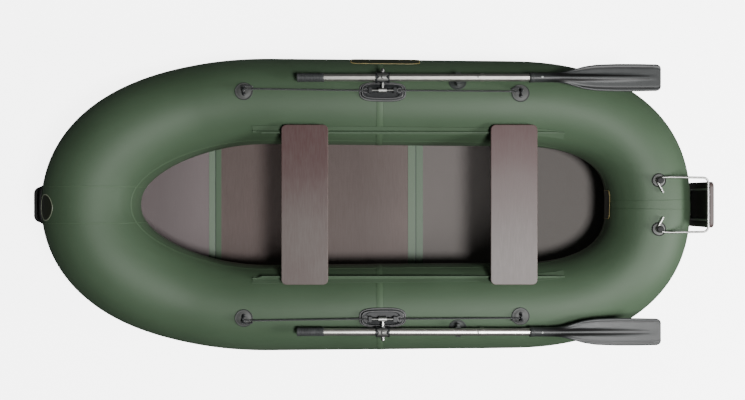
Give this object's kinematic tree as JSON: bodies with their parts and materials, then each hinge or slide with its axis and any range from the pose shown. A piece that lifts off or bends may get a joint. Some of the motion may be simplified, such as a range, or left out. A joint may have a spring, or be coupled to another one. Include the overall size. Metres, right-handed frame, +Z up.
{
  "type": "inflatable rowing boat",
  "caption": "Inflatable rowing boat with a raised bow, folding plywood floor, sliding bench seats, oars on tilting rowlocks, grab lines and a hanging transom",
  "frame": {"origin": "on the floor plane under the middle of the hull, on the flat bottom sheet", "axes": "+X to the stern, +Y to starboard, +Z up"},
  "size_m": [3.0564, 1.3572, 0.5201],
  "materials": {
    "hull_fabric": "matt coated fabric",
    "light_fabric": "matt coated fabric",
    "filmed_plywood": "wire-mesh film-faced plywood",
    "seat_plywood": "smooth film-faced plywood",
    "black_plastic": "moulded",
    "pale_plastic": "moulded",
    "pad_rubber": "matt",
    "steel": "brushed",
    "aluminium": "anodised",
    "rope": "braided"
  },
  "bodies": {
    "hull": {"tube_bow": "hull_fabric", "tube_stern": "hull_fabric", "bottom_sheet_bow": "hull_fabric", "bottom_sheet_main": "hull_fabric", "seam_band_port": "light_fabric", "seam_band_starboard": "light_fabric", "floor_strip_front": "light_fabric", "floor_strip_rear": "light_fabric", "seat_rail_port": "light_fabric", "seat_rail_starboard": "light_fabric", "floor_board_bow": "filmed_plywood", "floor_board_mid": "filmed_plywood", "floor_board_stern": "filmed_plywood", "transom_board": "filmed_plywood", "rowlock_frame_port": "black_plastic", "rowlock_pad_port": "pad_rubber", "line_eye_bow_port": "pad_rubber", "line_eye_stern_port": "pad_rubber", "oar_clip_port": "pad_rubber", "transom_post_port": "pad_rubber", "rowlock_axle_port": "steel", "grab_line_bow_port": "rope", "grab_line_stern_port": "rope", "rowlock_frame_starboard": "black_plastic", "rowlock_pad_starboard": "pad_rubber", "line_eye_bow_starboard": "pad_rubber", "line_eye_stern_starboard": "pad_rubber", "oar_clip_starboard": "pad_rubber", "transom_post_starboard": "pad_rubber", "rowlock_axle_starboard": "steel", "grab_line_bow_starboard": "rope", "grab_line_stern_starboard": "rope", "bow_handle": "black_plastic", "transom_frame": "steel", "transom_stay": "steel", "valve_bow": "pale_plastic", "valve_stern": "pale_plastic"},
    "seat_front": {"seat_front_board": "seat_plywood", "seat_front_runner_port": "black_plastic", "seat_front_runner_starboard": "black_plastic"},
    "seat_rear": {"seat_rear_board": "seat_plywood", "seat_rear_runner_port": "black_plastic", "seat_rear_runner_starboard": "black_plastic"},
    "oar_starboard": {"rowlock_stud_starboard": "steel", "rowlock_nut_starboard": "steel", "oar_grip_starboard": "black_plastic", "oar_shaft_upper_starboard": "aluminium", "oar_shaft_lower_starboard": "aluminium", "oar_sleeve_starboard": "black_plastic", "oar_blade_starboard": "black_plastic"},
    "oar_port": {"rowlock_stud_port": "steel", "rowlock_nut_port": "steel", "oar_grip_port": "black_plastic", "oar_shaft_upper_port": "aluminium", "oar_shaft_lower_port": "aluminium", "oar_sleeve_port": "black_plastic", "oar_blade_port": "black_plastic"}
  },
  "joints": [
    {"name": "seat_front_slide", "type": "slide", "parent": "hull", "child": "seat_front", "axis": [1, 0, 0], "range_m": [-0.1, 0.355]},
    {"name": "seat_rear_slide", "type": "slide", "parent": "hull", "child": "seat_rear", "axis": [1, 0, 0], "range_m": [-0.355, 0.034]},
    {"name": "rowlock_tilt_starboard", "type": "hinge", "parent": "hull", "child": "oar_starboard", "pos_m": [0.0753, 0.505, 0.4216], "axis": [1, 0, 0], "range_deg": [0, 90]},
    {"name": "rowlock_tilt_port", "type": "hinge", "parent": "hull", "child": "oar_port", "pos_m": [0.0753, -0.505, 0.4216], "axis": [-1, 0, 0], "range_deg": [0, 90]}
  ]
}
